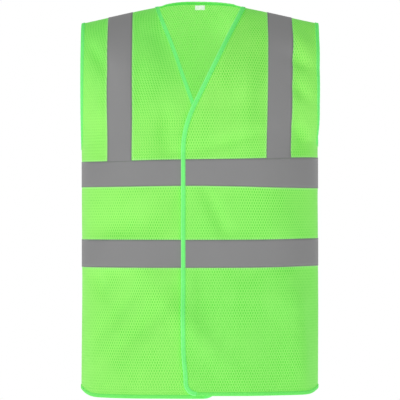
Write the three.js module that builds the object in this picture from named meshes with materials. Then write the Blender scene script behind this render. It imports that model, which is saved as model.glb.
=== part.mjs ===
// High visibility vest, shaped as it hangs on a wearer: two fronts that lap and close with
// hook and loop, a back, reflective tapes, and green binding on every raw edge.
// Millimetres, +Z up, the fronts face -Y, and the wearer's left is +X.
import * as THREE from 'three';

// Overall shape. Heights are counted up from the lowest hem.
const halfWidth = 214.5;
const shoulderTipHeight = 674.5;
const shoulderFall = 30.5; // from the neck out to the tip
const neckHalfWidth = 76;
const napeRise = 11;
const napeSink = 14; // how far the nape lies under the shoulder line carried across the neck
const armholeDepth = 221;
const sideHemRise = 13;
const sideHemFade = 120;
const sectionPower = 2.5; // 2 is an ellipse, more is boxier
const waistBelowArm = 203.5;
const chestAboveArm = 16.5;
const frontWall = { side: -1, hem: 126, waist: 120, chest: 130, roll: 200, armhole: 75 };
const backWall = { side: 1, hem: 116, waist: 108, chest: 118, roll: 190, armhole: 65 };

// Cloth, tapes and edges
const clothThickness = 1;
const tapeWidth = 50;
const tapeThickness = 0.7;
const tapeBelowArm = 27;
const tapePitch = 144; // from the lower band up to the upper one
const braceCentre = 145;
const braceHalfWidth = 23; // across the front view; the cloth slopes there
const bindingWidth = 7;
const bindingThickness = 1.6;
const cornerRadius = 24;
const gap = 0.3;

// Fronts: where the front edge stands past the middle, and how far above the bottom of the
// armhole the neckline meets it
const leftFront = { name: 'left_front', hand: 1, hem: 5, edge: -33, knee: 29.5 };
const rightFront = { name: 'right_front', hand: -1, hem: 0, edge: -30, knee: -36.5 };
const kneeAbove = 45;
const kneeBelow = 40;
const patchWidth = 25;
const patchHeight = 60;
const patchThickness = 1.2;
const patchCentre = -4;
const lapInsetEnd = 45; // the under front is fully tucked in up to here
const lapInsetStart = 110;
const lapInsetTop = 57; // and fades out between these heights over the neckline's foot
const lapInsetFade = 157;

// Label at the nape
const labelWidth = 18;
const labelHeight = 8;
const labelThickness = 0.5;
const labelStandoff = 3; // clears the curved neckline behind it

// How finely the cloth is divided
const armholeSteps = 10;
const frontColumns = 6;
const braceColumns = 2;
const sideColumns = 5;
const neckColumns = 4;

const colours = {
  cloth: { color: 0x8cf06a, roughness: 0.85, metalness: 0 },
  binding: { color: 0x74f87e, roughness: 0.7, metalness: 0 },
  tape: { color: 0x8a8a8a, roughness: 0.45, metalness: 0.3 },
  fastener: { color: 0x7fe868, roughness: 0.95, metalness: 0 },
  label: { color: 0xf4f4f2, roughness: 0.6, metalness: 0 },
};

const neckPointHeight = shoulderTipHeight + shoulderFall;
const napeHeight = neckPointHeight + napeRise;
const ridgeSlope = shoulderFall / (halfWidth - neckHalfWidth);
const armholeBottom = shoulderTipHeight - armholeDepth;
const chestHeight = armholeBottom + chestAboveArm;
const waistHeight = armholeBottom - waistBelowArm;
const upperTapeHeight = armholeBottom - tapeBelowArm - tapeWidth;
const lowerTapeHeight = upperTapeHeight - tapePitch;
const seatHeight = (neckPointHeight + shoulderTipHeight) / 2;
const lowerPatchBase = (lowerTapeHeight - patchHeight) / 2;
const upperPatchBase = (lowerTapeHeight + tapeWidth + upperTapeHeight - patchHeight) / 2;
const lapDepth = clothThickness + 2 * patchThickness + 3 * gap;
const vest = new THREE.Group();
vest.position.z = -seatHeight; // the origin lies between the shoulders, where the vest is carried
const model = new THREE.Group();
model.add(vest);

function mix(a, b, t) {
  return a + (b - a) * t;
}

function ease(t) {
  const u = Math.min(Math.max(t, 0), 1);
  return u * u * (3 - 2 * u);
}

// ---- The worn shape ----

// The shoulder line, carried on in an arch across the neck.
function ridgeHeight(x) {
  const across = Math.abs(x);
  if (across >= neckHalfWidth) {
    return shoulderTipHeight + ridgeSlope * (halfWidth - across);
  }
  const bow = 1 - (across / neckHalfWidth) ** 2;
  const low = (ridgeSlope * neckHalfWidth) / 2;
  const high = napeHeight + napeSink - neckPointHeight - low;
  return neckPointHeight + low * bow + high * bow * bow;
}

function bodyDepth(wall, z) {
  if (z < waistHeight) {
    return mix(wall.hem, wall.waist, ease(z / waistHeight));
  }
  return mix(wall.waist, wall.chest, ease((z - waistHeight) / (chestHeight - waistHeight)));
}

// Half the depth of the body at the middle, and the share of it that the armhole takes.
function sectionAt(wall, x, z) {
  const drop = Math.max(ridgeHeight(x) - z, 0.02);
  const up = 1 - Math.min(drop / wall.roll, 1);
  const depth = bodyDepth(wall, z) * Math.sqrt(1 - up * up);
  const along = Math.min(drop / armholeDepth, 1);
  const opening = 2 * wall.armhole * Math.sqrt(along * (1 - along));
  const filled = 1 - (opening / depth) ** sectionPower;
  return { depth, filled };
}

function wallDistance(wall, x, z) {
  const section = sectionAt(wall, x, z);
  const rest = 1 - section.filled * (Math.abs(x) / halfWidth) ** sectionPower;
  return section.depth * Math.max(rest, 0) ** (1 / sectionPower);
}

// Zero on the wall, and positive outside it.
function wallField(wall, x, distance, z) {
  const section = sectionAt(wall, x, z);
  const inside = section.filled * (Math.abs(x) / halfWidth) ** sectionPower - 1;
  return section.depth ** sectionPower * inside + distance ** sectionPower;
}

function wallNormal(wall, x, z) {
  const step = 0.01;
  const level = Math.min(z, ridgeHeight(x) - 3 * step);
  const distance = wallDistance(wall, x, level);
  const alongX = wallField(wall, x + step, distance, level) - wallField(wall, x - step, distance, level);
  const alongZ = wallField(wall, x, distance, level + step) - wallField(wall, x, distance, level - step);
  const outward = 2 * step * sectionPower * distance ** (sectionPower - 1);
  return new THREE.Vector3(alongX, wall.side * outward, alongZ).normalize();
}

// A place on the cloth: its point, and the way its outer face looks. Seams stop half a gap short.
function clothPoint(wall, x, z, inset = 0) {
  const distance = Math.max(wallDistance(wall, x, z), gap / 2);
  const onRidge = z > ridgeHeight(x) - 0.05 && Math.abs(x) >= neckHalfWidth - 0.01;
  const y = wall.side * (onRidge ? gap / 2 : distance);
  const point = new THREE.Vector3(x, y - wall.side * inset, z);
  return { point, normal: wallNormal(wall, x, z) };
}

// ---- Closed solids ----

function solid(name, finish, corners, faces) {
  const geometry = new THREE.BufferGeometry();
  geometry.setAttribute('position', new THREE.Float32BufferAttribute(corners.flatMap((c) => c.toArray()), 3));
  const sign = volumeOf(corners, faces) < 0 ? -1 : 1;
  const order = sign < 0 ? faces.map(([a, b, c]) => [a, c, b]) : faces;
  geometry.setIndex(order.flat());
  geometry.computeVertexNormals();
  const mesh = new THREE.Mesh(geometry, new THREE.MeshStandardMaterial(colours[finish]));
  mesh.name = name;
  vest.add(mesh);
  return mesh;
}

function volumeOf(corners, faces) {
  const cross = new THREE.Vector3();
  let total = 0;
  for (const [a, b, c] of faces) {
    cross.crossVectors(corners[b], corners[c]);
    total += corners[a].dot(cross) / 6;
  }
  return total;
}

// A sheet between two offsets of a grid of cloth places, closed along its border.
function sheet(name, finish, grid, low, high) {
  const rows = grid.length;
  const columns = grid[0].length;
  const corners = [];
  for (const offset of [low, high]) {
    for (const row of grid) {
      row.forEach((place) => corners.push(place.point.clone().addScaledVector(place.normal, offset)));
    }
  }
  const at = (layer, i, j) => layer * rows * columns + i * columns + j;
  const faces = [];
  const quad = (a, b, c, d) => faces.push([a, b, c], [a, c, d]);
  for (let i = 0; i + 1 < rows; i += 1) {
    for (let j = 0; j + 1 < columns; j += 1) {
      quad(at(1, i, j), at(1, i, j + 1), at(1, i + 1, j + 1), at(1, i + 1, j));
      faces.push([at(0, i, j), at(0, i + 1, j + 1), at(0, i, j + 1)]);
      faces.push([at(0, i, j), at(0, i + 1, j), at(0, i + 1, j + 1)]);
    }
  }
  const border = [];
  for (let j = 0; j + 1 < columns; j += 1) border.push([0, j]);
  for (let i = 0; i + 1 < rows; i += 1) border.push([i, columns - 1]);
  for (let j = columns - 1; j > 0; j -= 1) border.push([rows - 1, j]);
  for (let i = rows - 1; i > 0; i -= 1) border.push([i, 0]);
  border.forEach(([i, j], k) => {
    const [m, n] = border[(k + 1) % border.length];
    quad(at(0, i, j), at(0, m, n), at(1, m, n), at(1, i, j));
  });
  return solid(name, finish, corners, faces);
}

// Moves a border place a gap towards its neighbour, so that the next piece clears it.
function pulled(place, neighbour) {
  const way = neighbour.point.clone().sub(place.point).setLength(gap);
  return { point: place.point.clone().add(way), normal: place.normal };
}

function trimRows(grid, first, last) {
  const out = grid.map((row) => row.slice());
  const end = grid.length - 1;
  if (first) out[0] = grid[0].map((place, j) => pulled(place, grid[1][j]));
  if (last) out[end] = grid[end].map((place, j) => pulled(place, grid[end - 1][j]));
  return out;
}

function trimColumns(grid, first, last) {
  return grid.map((row) => {
    const out = row.slice();
    const end = row.length - 1;
    if (first) out[0] = pulled(row[0], row[1]);
    if (last) out[end] = pulled(row[end], row[end - 1]);
    return out;
  });
}

function mirrored(grid, hand) {
  const flip = (v) => new THREE.Vector3(v.x * hand, v.y, v.z);
  return grid.map((row) => row.map((place) => ({ point: flip(place.point), normal: flip(place.normal) })));
}

// ---- Rows and edges ----

const bindingLow = -(clothThickness + bindingThickness) / 2;
const bindingHigh = bindingLow + bindingThickness;
const tapeLow = bindingHigh + gap;
const tapeHigh = tapeLow + tapeThickness;

// Heights of the rows below the armholes, from the binding on the hem up to the one under the arm.
function bodyRows(hem) {
  return [
    hem + bindingWidth,
    hem + mix(bindingWidth, cornerRadius, 0.3),
    hem + cornerRadius,
    lowerPatchBase,
    lowerPatchBase + patchHeight,
    lowerTapeHeight,
    lowerTapeHeight + tapeWidth,
    upperPatchBase,
    upperPatchBase + patchHeight,
    upperTapeHeight,
    upperTapeHeight + tapeWidth,
    armholeBottom - bindingWidth,
  ];
}
const lowerTapeRow = 5;
const upperTapeRow = 9;
const armRow = 11;
const topRow = armRow + armholeSteps;

function sideRowHeight(z) {
  return z + sideHemRise * Math.max(0, 1 - z / sideHemFade) ** 1.5;
}

// The armhole's edge and the line where its binding meets the cloth, from the side seam to the top.
function armholeStation(wall, k) {
  const turn = (Math.PI * k) / armholeSteps;
  const z = armholeBottom + (armholeDepth / 2) * (1 - Math.cos(turn));
  const y = wall.side * Math.max(wall.armhole * Math.sin(turn), gap / 2);
  const edge = { point: new THREE.Vector3(halfWidth, y, z), normal: wallNormal(wall, halfWidth, z) };
  const alongY = wall.side * wall.armhole * Math.cos(turn);
  const along = new THREE.Vector3(0, alongY, (armholeDepth / 2) * Math.sin(turn));
  const inward = new THREE.Vector3().crossVectors(along, edge.normal).setLength(bindingWidth * wall.side);
  const point = edge.point.clone().add(inward);
  if (k === 0 || k === armholeSteps) point.y = y;
  return { edge, cloth: { point, normal: edge.normal } };
}

// The right-hand end of each row: on the side seam, then along the armhole.
function sideEnd(wall, k) {
  if (k <= armRow) {
    const place = clothPoint(wall, halfWidth, sideRowHeight(bodyRows(0)[k]));
    place.point.y = (wall.side * gap) / 2;
    return place;
  }
  return armholeStation(wall, k - armRow).cloth;
}

// Share of the way up from the row under the arm to the shoulder line.
function riseOf(wall, k) {
  const low = sideEnd(wall, armRow).point.z;
  const high = sideEnd(wall, topRow).point.z;
  return (sideEnd(wall, k).point.z - low) / (high - low);
}

// Places from the brace's outer line round to the side end, closer where the cloth turns.
function sidePlaces(wall, k, start, inset) {
  const end = sideEnd(wall, k);
  const section = sectionAt(wall, end.point.x, end.point.z);
  const share = Math.min(Math.abs(end.point.y) / section.depth, 1);
  const endAngle = Math.asin(Math.sqrt(share ** sectionPower));
  const startCos = Math.sqrt(section.filled * (start.x / halfWidth) ** sectionPower);
  const startAngle = Math.acos(Math.min(startCos, 1));
  const places = [];
  for (let j = 1; j < sideColumns; j += 1) {
    const angle = mix(startAngle, endAngle, j / sideColumns);
    const reach = (Math.cos(angle) ** 2 / section.filled) ** (1 / sectionPower) * halfWidth;
    const even = mix(start.x, end.point.x, j / sideColumns);
    const x = k === topRow ? even : Math.min(reach, end.point.x);
    const z = mix(start.z, end.point.z, (x - start.x) / (end.point.x - start.x));
    places.push(clothPoint(wall, x, z, inset(x, z)));
  }
  places.push(end);
  return places;
}

// ---- Fronts ----

// The raw edge of a front, from the end of its hem round the corner, up and along the neckline.
function frontEdge(front) {
  const path = new THREE.Path();
  const knee = armholeBottom + front.knee;
  const slope = (neckHalfWidth - front.edge) / (neckPointHeight - knee);
  const middle = front.edge + cornerRadius;
  path.moveTo(middle, front.hem);
  path.absarc(middle, front.hem + cornerRadius, cornerRadius, 1.5 * Math.PI, Math.PI, true);
  path.lineTo(front.edge, knee - kneeBelow);
  path.quadraticCurveTo(front.edge, knee, front.edge + slope * kneeAbove, knee + kneeAbove);
  path.lineTo(neckHalfWidth, neckPointHeight);
  return path;
}

function frontEdgeAt(path, share) {
  const edge = path.getPointAt(share);
  const way = path.getTangentAt(share);
  const cloth = new THREE.Vector2(edge.x + way.y * bindingWidth, edge.y - way.x * bindingWidth);
  return { edge, cloth };
}

// The place along the edge where the cloth line reaches a height.
function frontEdgeAtHeight(path, z) {
  let low = 0;
  let high = 1;
  for (let i = 0; i < 40; i += 1) {
    const middle = (low + high) / 2;
    if (frontEdgeAt(path, middle).cloth.y < z) low = middle;
    else high = middle;
  }
  return frontEdgeAt(path, low);
}

function lapInset(front) {
  if (front.hand > 0) return () => 0;
  return (x, z) => {
    const across = ease((lapInsetStart - x) / (lapInsetStart - lapInsetEnd));
    const over = z - armholeBottom - leftFront.knee;
    return lapDepth * across * ease((lapInsetFade - over) / (lapInsetFade - lapInsetTop));
  };
}

function frontRow(front, path, k) {
  const inset = lapInset(front);
  const innerX = neckHalfWidth + bindingWidth;
  const low = bodyRows(0)[armRow];
  const rise = k > armRow ? riseOf(frontWall, k) : 0;
  const height = k <= armRow ? bodyRows(front.hem)[k] : mix(low, ridgeHeight(innerX), rise);
  const station = frontEdgeAtHeight(path, height);
  if (k === topRow) {
    station.edge.set(neckHalfWidth, neckPointHeight);
    station.cloth.set(innerX, ridgeHeight(innerX));
  }
  if (k === 0) station.cloth.set(station.edge.x, height);
  const end = sideEnd(frontWall, k).point;
  const start = station.cloth;
  const level = (x) => {
    if (k === topRow) return ridgeHeight(x);
    return mix(start.y, end.z, (x - start.x) / (end.x - start.x));
  };
  const lines = [];
  for (let j = 0; j < frontColumns; j += 1) {
    lines.push(mix(start.x, braceCentre - braceHalfWidth, j / frontColumns));
  }
  for (let j = 0; j <= braceColumns; j += 1) {
    lines.push(braceCentre + braceHalfWidth * ((2 * j) / braceColumns - 1));
  }
  const row = lines.map((x) => clothPoint(frontWall, x, level(x), inset(x, level(x))));
  const outer = lines[lines.length - 1];
  row.push(...sidePlaces(frontWall, k, { x: outer, z: level(outer) }, inset));
  const { x: edgeX, y: edgeZ } = station.edge;
  const edge = clothPoint(frontWall, edgeX, edgeZ, inset(edgeX, edgeZ));
  return { edge, row };
}

function buildFront(front) {
  const path = frontEdge(front);
  const rows = [];
  for (let k = 0; k <= topRow; k += 1) rows.push(frontRow(front, path, k));
  const cloth = rows.map((entry) => entry.row);
  const put = (part, finish, grid, low, high) => {
    sheet(`${front.name}_${part}`, finish, mirrored(grid, front.hand), low, high);
  };
  const narrow = trimColumns(cloth, true, false);
  const panel = trimRows(narrow, true, false).map((row, k) => {
    if (k < armRow || k === topRow) return row;
    return row.slice(0, -1).concat(pulled(row[row.length - 1], row[row.length - 2]));
  });
  put('panel', 'cloth', panel, -clothThickness, 0);
  const edge = trimColumns(rows.map((entry) => [entry.edge, entry.row[0]]), false, true);
  put('edge_binding', 'binding', edge, bindingLow, bindingHigh);
  const hem = cloth[0].map((place) => below(frontWall, place, bindingWidth, lapInset(front)));
  const hemGrid = trimColumns(trimRows([hem, cloth[0]], false, true), true, false);
  put('hem_binding', 'binding', hemGrid, bindingLow, bindingHigh);
  put('lower_band', 'tape', cloth.slice(lowerTapeRow, lowerTapeRow + 2), tapeLow, tapeHigh);
  put('upper_band', 'tape', cloth.slice(upperTapeRow, upperTapeRow + 2), tapeLow, tapeHigh);
  const last = frontColumns + braceColumns;
  const brace = cloth.slice(upperTapeRow + 1).map((row) => row.slice(frontColumns, last + 1));
  put('brace_tape', 'tape', trimRows(brace, true, false), tapeLow, tapeHigh);
  put('armhole_binding', 'binding', armholeStrip(frontWall), bindingLow, bindingHigh);
}

// The place a distance straight down the cloth from another.
function below(wall, place, distance, inset = () => 0) {
  const x = place.point.x;
  const z = place.point.z - distance;
  const down = clothPoint(wall, x, z, inset(x, z));
  if (Math.abs(place.point.y) <= gap / 2) down.point.y = place.point.y;
  return down;
}

function armholeStrip(wall) {
  const strip = [];
  for (let k = 0; k <= armholeSteps; k += 1) {
    const station = armholeStation(wall, k);
    strip.push([station.edge, station.cloth]);
  }
  return trimColumns(strip, false, true);
}

// ---- Back ----

// The neckline's edge and the line where its binding meets the cloth; share runs from -1 to 1.
function neckStation(share) {
  const bow = 1 - share * share;
  const low = 0.95 * (ridgeSlope * neckHalfWidth) / 2;
  const high = napeHeight - neckPointHeight - low;
  const height = neckPointHeight + low * bow + high * bow * bow;
  const edge = clothPoint(backWall, neckHalfWidth * share, height);
  const x = (neckHalfWidth + bindingWidth) * share;
  let shallow = Math.max(ridgeHeight(neckHalfWidth * share) - height, 0);
  let deep = shallow + 4 * bindingWidth;
  for (let i = 0; i < 40; i += 1) {
    const middle = (shallow + deep) / 2;
    const tried = clothPoint(backWall, x, ridgeHeight(x) - middle);
    if (tried.point.distanceTo(edge.point) < bindingWidth) shallow = middle;
    else deep = middle;
  }
  const atEnd = Math.abs(share) > 1 - 1e-9;
  const cloth = clothPoint(backWall, x, atEnd ? ridgeHeight(x) : ridgeHeight(x) - shallow);
  return { edge, cloth };
}

function backRow(k) {
  const low = bodyRows(0)[armRow];
  const rise = k > armRow ? riseOf(backWall, k) : 0;
  const end = sideEnd(backWall, k).point;
  const innerX = neckHalfWidth + bindingWidth;
  const top = (x) => {
    if (x >= innerX - 1e-6) return ridgeHeight(x);
    return neckStation(x / innerX).cloth.point.z;
  };
  const level = (x) => {
    if (k > armRow) return mix(low, top(x), rise);
    const base = bodyRows(0)[k];
    return mix(base, end.z, (x / halfWidth) ** 6);
  };
  const lines = [];
  for (let j = 0; j < neckColumns; j += 1) lines.push((innerX * j) / neckColumns);
  lines.push(innerX);
  for (let j = 0; j <= braceColumns; j += 1) {
    lines.push(braceCentre + braceHalfWidth * ((2 * j) / braceColumns - 1));
  }
  const row = lines.map((x) => clothPoint(backWall, x, level(x)));
  const outer = lines[lines.length - 1];
  row.push(...sidePlaces(backWall, k, { x: outer, z: level(outer) }, () => 0));
  const other = mirrored([row.slice(1).reverse()], -1)[0];
  return [...other, ...row];
}

function buildBack() {
  const cloth = [];
  for (let k = 0; k <= topRow; k += 1) cloth.push(backRow(k));
  const columns = cloth[0].length;
  const panel = trimRows(cloth, true, false).map((row, k) => {
    if (k < armRow || k === topRow) return row;
    return trimColumns([row], true, true)[0];
  });
  const middle = (columns - 1) / 2;
  panel[topRow] = cloth[topRow].map((place, j) => {
    if (Math.abs(j - middle) >= neckColumns) return place;
    return pulled(place, cloth[topRow - 1][j]);
  });
  sheet('back_panel', 'cloth', panel, -clothThickness, 0);
  const hem = cloth[0].map((place) => below(backWall, place, bindingWidth));
  sheet('back_hem_binding', 'binding', trimRows([hem, cloth[0]], false, true), bindingLow, bindingHigh);
  sheet('back_lower_band', 'tape', cloth.slice(lowerTapeRow, lowerTapeRow + 2), tapeLow, tapeHigh);
  sheet('back_upper_band', 'tape', cloth.slice(upperTapeRow, upperTapeRow + 2), tapeLow, tapeHigh);
  const first = middle + neckColumns + 1;
  for (const [name, hand] of [['left', 1], ['right', -1]]) {
    const brace = cloth.slice(upperTapeRow + 1).map((row) => row.slice(first, first + braceColumns + 1));
    sheet(`${name}_back_brace_tape`, 'tape', mirrored(trimRows(brace, true, false), hand), tapeLow, tapeHigh);
    const armhole = mirrored(armholeStrip(backWall), hand);
    sheet(`${name}_back_armhole_binding`, 'binding', armhole, bindingLow, bindingHigh);
  }
  const neck = [];
  for (let j = -neckColumns; j <= neckColumns; j += 1) {
    const station = neckStation(j / neckColumns);
    neck.push([station.edge, station.cloth]);
  }
  sheet('back_neck_binding', 'binding', trimColumns(neck, false, true), bindingLow, bindingHigh);
}

// ---- Fasteners and label ----

// A patch spans the same rows as the cloth that it is sewn to, so it stays parallel to it.
function patchGrid(base, inset) {
  const left = patchCentre - patchWidth / 2;
  return [base, base + patchHeight].map((z) => {
    return [0, 0.5, 1].map((share) => clothPoint(frontWall, left + patchWidth * share, z, inset));
  });
}

function buildPatches(level, base) {
  const under = -clothThickness - gap;
  sheet(`${level}_hook_patch`, 'fastener', patchGrid(base, 0), under - patchThickness, under);
  sheet(`${level}_loop_patch`, 'fastener', patchGrid(base, lapDepth), gap, gap + patchThickness);
}

// A small plate that hangs from the inside of the neck binding.
function buildLabel() {
  const seam = neckStation(0).cloth;
  const top = seam.point.clone().addScaledVector(seam.normal, bindingLow - gap);
  const mesh = new THREE.Mesh(
    new THREE.BoxGeometry(labelWidth, labelThickness, labelHeight),
    new THREE.MeshStandardMaterial(colours.label),
  );
  mesh.name = 'neck_label';
  mesh.position.set(0, top.y - labelStandoff, top.z - gap - labelHeight / 2);
  vest.add(mesh);
}

buildBack();
buildFront(leftFront);
buildFront(rightFront);
buildPatches('lower', lowerPatchBase);
buildPatches('upper', upperPatchBase);
buildLabel();

export default model;
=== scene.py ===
import math

import bmesh
import bpy
import numpy as np
from mathutils import Matrix, Vector


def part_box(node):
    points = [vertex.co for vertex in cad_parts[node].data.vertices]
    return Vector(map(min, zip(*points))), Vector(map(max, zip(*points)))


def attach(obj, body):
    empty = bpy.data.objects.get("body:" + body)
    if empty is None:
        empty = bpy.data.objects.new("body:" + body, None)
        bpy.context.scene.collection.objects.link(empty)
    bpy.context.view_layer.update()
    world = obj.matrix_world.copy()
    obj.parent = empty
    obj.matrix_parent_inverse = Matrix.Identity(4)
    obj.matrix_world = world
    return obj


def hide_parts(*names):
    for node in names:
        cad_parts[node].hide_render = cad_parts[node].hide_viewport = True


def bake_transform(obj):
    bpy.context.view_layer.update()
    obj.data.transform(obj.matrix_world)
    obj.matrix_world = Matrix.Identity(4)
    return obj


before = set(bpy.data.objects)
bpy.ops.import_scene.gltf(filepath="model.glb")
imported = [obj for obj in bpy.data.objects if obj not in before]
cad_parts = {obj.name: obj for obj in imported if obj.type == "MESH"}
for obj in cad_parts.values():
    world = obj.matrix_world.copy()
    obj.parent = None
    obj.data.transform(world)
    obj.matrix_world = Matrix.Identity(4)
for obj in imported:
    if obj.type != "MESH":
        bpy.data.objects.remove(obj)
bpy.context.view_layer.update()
print("frame loaded:", len(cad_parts), "nodes")

# ---- the worn shape: metres, heights counted up from the lowest hem ----

seatHeight = -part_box("right_front_hem_binding")[0].z
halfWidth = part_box("back_panel")[1].x

vest = {
    "tipHeight": 0.6745, "shoulderFall": 0.0305, "neckHalf": 0.076, "napeRise": 0.011,
    "napeSink": 0.014, "armholeDepth": 0.221, "waistBelowArm": 0.2035, "chestAboveArm": 0.0165,
    "hemRise": 0.013, "hemFade": 0.120, "power": 2.5, "tape": 0.050, "tapeBelowArm": 0.027,
    "tapePitch": 0.144, "corner": 0.024, "kneeAbove": 0.045, "kneeBelow": 0.040,
    "braceCentre": 0.1442, "braceHalf": 0.0222, "cloth": 0.0007,
}
frontWall = {"side": -1, "hem": 0.126, "waist": 0.120, "chest": 0.130, "roll": 0.200, "armhole": 0.075}
backWall = {"side": 1, "hem": 0.116, "waist": 0.108, "chest": 0.118, "roll": 0.190, "armhole": 0.065}
# the last four numbers of each front are its painted light (above 0) and painted shade (below 0) at four
# heights up the cloth
leftFront = {"body": "left_front", "name": "leftFront", "hand": 1, "hem": 0.005, "edge": -0.033,
             "knee": 0.0295, "tucked": False, "warmth": (-0.08, -0.03, 0.07, 0.12)}
rightFront = {"body": "right_front", "name": "rightFront", "hand": -1, "hem": 0.0, "edge": -0.030,
              "knee": -0.0365, "tucked": True, "warmth": (0.02, 0.05, 0.04, -0.14)}
paintedLightHeights = (0.16, 0.32, 0.50, 0.65)  # painted light and shade: the cloth is painted lighter and yellower, or darker and greener, at these heights, apart on each front

neckPoint = vest["tipHeight"] + vest["shoulderFall"]
ridgeSlope = vest["shoulderFall"] / (halfWidth - vest["neckHalf"])
armBottom = vest["tipHeight"] - vest["armholeDepth"]
chestHeight = armBottom + vest["chestAboveArm"]
waistHeight = armBottom - vest["waistBelowArm"]
upperTape = armBottom - vest["tapeBelowArm"] - vest["tape"]
lowerTape = upperTape - vest["tapePitch"]


def mix(a, b, t):
    return a + (b - a) * t


def ease(t):
    u = np.clip(t, 0, 1)
    return u * u * (3 - 2 * u)


def ridgeHeight(x):
    across = np.abs(x)
    bow = np.clip(1 - (across / vest["neckHalf"]) ** 2, 0, 1)
    low = ridgeSlope * vest["neckHalf"] / 2
    high = vest["napeRise"] + vest["napeSink"] - low
    outer = vest["tipHeight"] + ridgeSlope * (halfWidth - across)
    return np.where(across >= vest["neckHalf"], outer, neckPoint + low * bow + high * bow * bow)


def bodyDepth(wall, z):
    low = mix(wall["hem"], wall["waist"], ease(z / waistHeight))
    high = mix(wall["waist"], wall["chest"], ease((z - waistHeight) / (chestHeight - waistHeight)))
    return np.where(z < waistHeight, low, high)


def sectionAt(wall, x, z, least=1e-8):
    drop = np.maximum(ridgeHeight(x) - z, least)
    up = 1 - np.minimum(drop / wall["roll"], 1)
    depth = bodyDepth(wall, z) * np.sqrt(1 - up * up)
    along = np.minimum(drop / vest["armholeDepth"], 1)
    opening = 2 * wall["armhole"] * np.sqrt(along * (1 - along))
    return depth, 1 - (opening / depth) ** vest["power"]


def wallDistance(wall, x, z):
    depth, filled = sectionAt(wall, x, z)
    rest = 1 - filled * (np.abs(x) / halfWidth) ** vest["power"]
    return depth * np.maximum(rest, 0) ** (1 / vest["power"])


def wallField(wall, x, distance, z):
    depth, filled = sectionAt(wall, x, z, 2e-5)
    inside = filled * (np.abs(x) / halfWidth) ** vest["power"] - 1
    return depth ** vest["power"] * inside + np.maximum(distance, 0) ** vest["power"]


def fieldSlope(wall, x, distance, z):
    step = 1e-5
    z = np.minimum(z, ridgeHeight(x) - 3 * step)
    alongX = wallField(wall, x + step, distance, z) - wallField(wall, x - step, distance, z)
    alongZ = wallField(wall, x, distance, z + step) - wallField(wall, x, distance, z - step)
    outward = vest["power"] * np.maximum(distance, 0) ** (vest["power"] - 1)
    return np.stack([alongX / (2 * step), wall["side"] * outward, alongZ / (2 * step)], -1)


def unit(v):
    return v / np.maximum(np.linalg.norm(v, axis=-1, keepdims=True), 1e-12)


def wallNormal(wall, p):
    level = np.minimum(p[..., 2], ridgeHeight(p[..., 0]) - 3e-5)
    distance = wallDistance(wall, p[..., 0], level)
    near = np.abs(p[..., 1]) < distance  # on the armhole's rim the place itself counts
    distance = np.where(near & (np.abs(p[..., 0]) > halfWidth * 0.98), np.abs(p[..., 1]), distance)
    return unit(fieldSlope(wall, p[..., 0], distance, level))


def ontoWall(wall, p):  # slides places a little, until they lie on the wall
    p = p.copy()
    for _ in range(4):
        distance = wall["side"] * p[..., 1]
        slope = fieldSlope(wall, p[..., 0], distance, p[..., 2])
        size = np.sum(slope * slope, -1)
        value = wallField(wall, p[..., 0], distance, p[..., 2])
        move = np.where(size > 1e-12, value / np.maximum(size, 1e-12), 0)[..., None] * slope
        length = np.linalg.norm(move, axis=-1, keepdims=True)
        p -= move * np.minimum(1, 0.002 / np.maximum(length, 1e-9))
    return p


def onWall(wall, x, z):
    x, z = np.broadcast_arrays(np.asarray(x, float), np.asarray(z, float))
    return np.stack([x, wall["side"] * wallDistance(wall, x, z), z], -1)


# ---- how the cloth hangs: soft folds over the worn shape ----

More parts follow.
